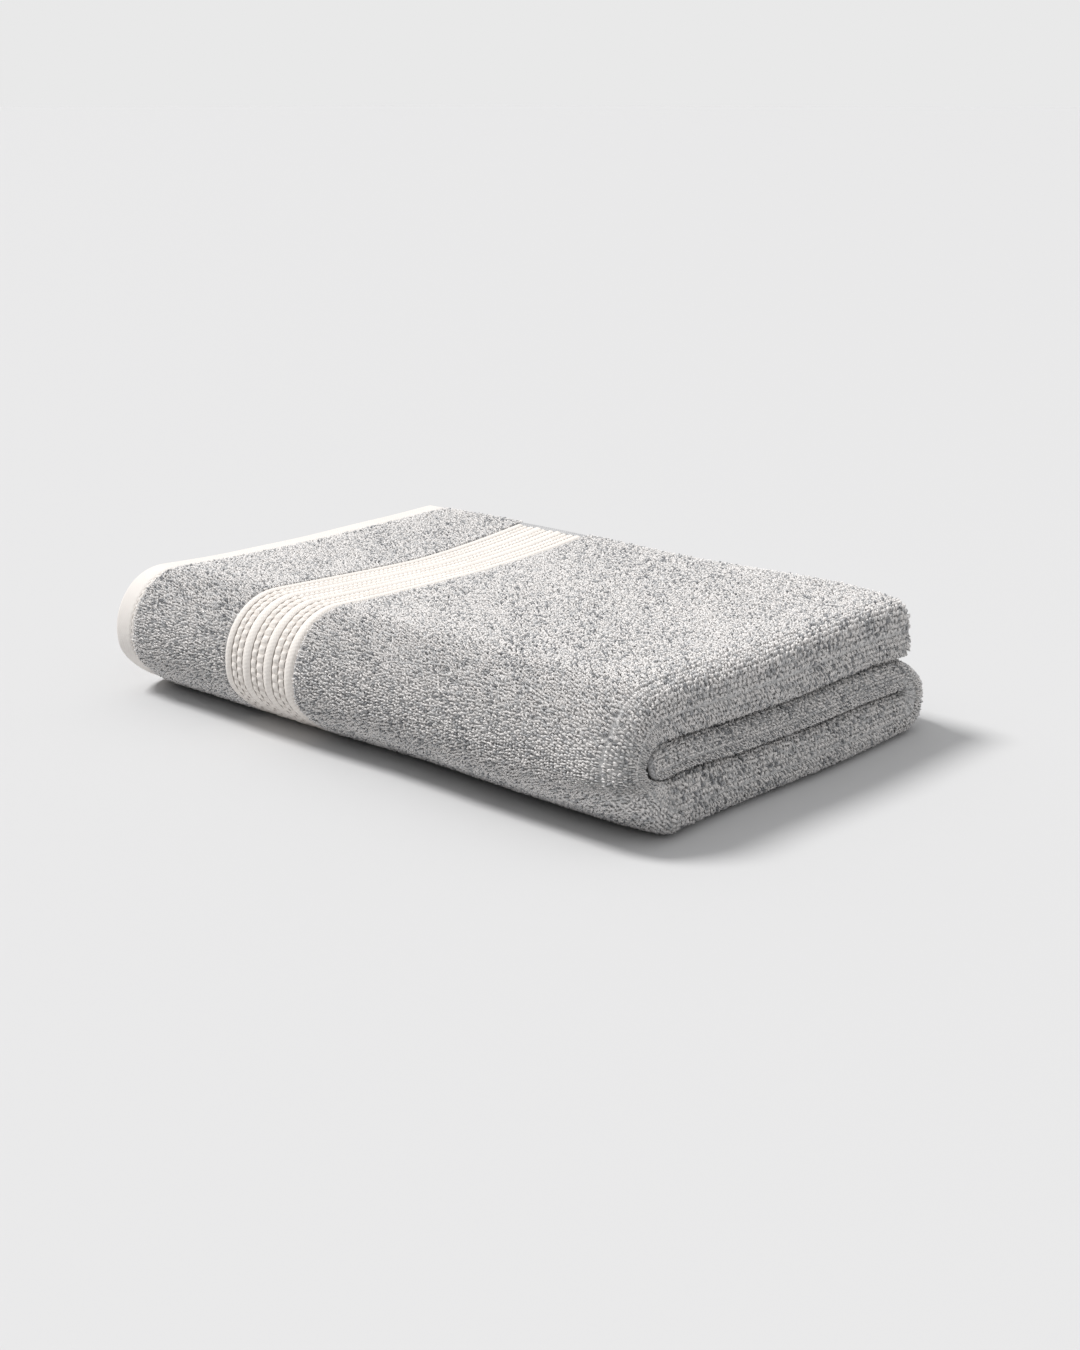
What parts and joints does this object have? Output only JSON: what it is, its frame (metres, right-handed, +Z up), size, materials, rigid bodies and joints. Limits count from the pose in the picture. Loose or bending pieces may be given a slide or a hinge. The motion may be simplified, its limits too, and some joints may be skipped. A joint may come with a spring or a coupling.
{
  "type": "bath towel",
  "caption": "Terry bath towel folded into a flat rectangular stack, with turned hems and a ribbed woven border near each end; its top panel unfolds over the front fold.",
  "frame": {"origin": "middle of the underside, where the folded towel rests", "axes": "+Z up out of the stack, +X along the length towards the cross fold with the end hem at -X, -Y towards the rounded front fold"},
  "size_m": [0.356, 0.25, 0.0682],
  "materials": {
    "terry": "matte",
    "border": "matte",
    "hem": "matte",
    "thread": "matte",
    "side_hem": "matte",
    "grey_thread": "matte"
  },
  "bodies": {
    "base": {"base_end_hem": "hem", "base_end_hem_stitching": "thread", "base_end_strip": "terry", "base_woven_border": "border", "base_terry_field": "terry", "base_tucked_border": "border", "base_tucked_strip": "terry", "base_tucked_hem_stitching": "thread", "base_tucked_hem": "hem", "base_side_hem": "side_hem", "base_side_hem_stitching": "grey_thread"},
    "front_fold": {"fold_end_hem": "hem", "fold_end_hem_stitching": "thread", "fold_end_strip": "terry", "fold_woven_border": "border", "fold_terry_field": "terry", "fold_tucked_border": "border", "fold_tucked_strip": "terry", "fold_tucked_hem_stitching": "thread", "fold_tucked_hem": "hem"},
    "top_flap": {"flap_end_hem": "hem", "flap_end_hem_stitching": "thread", "flap_end_strip": "terry", "flap_woven_border": "border", "flap_terry_field": "terry", "flap_tucked_border": "border", "flap_tucked_strip": "terry", "flap_tucked_hem_stitching": "thread", "flap_tucked_hem": "hem", "flap_side_hem": "side_hem", "flap_side_hem_stitching": "grey_thread"}
  },
  "joints": [
    {"name": "front_fold_turn", "type": "hinge", "parent": "base", "child": "front_fold", "pos_m": [0, -0.11526, 0.00974], "axis": [1, 0, 0], "range_deg": [0, 90]},
    {"name": "top_flap_turn", "type": "hinge", "parent": "front_fold", "child": "top_flap", "pos_m": [0, -0.11526, 0.05846], "axis": [1, 0, 0], "range_deg": [0, 90]}
  ],
  "couplings": [
    {"joint": "top_flap_turn", "follows": "front_fold_turn", "ratio": 1}
  ]
}
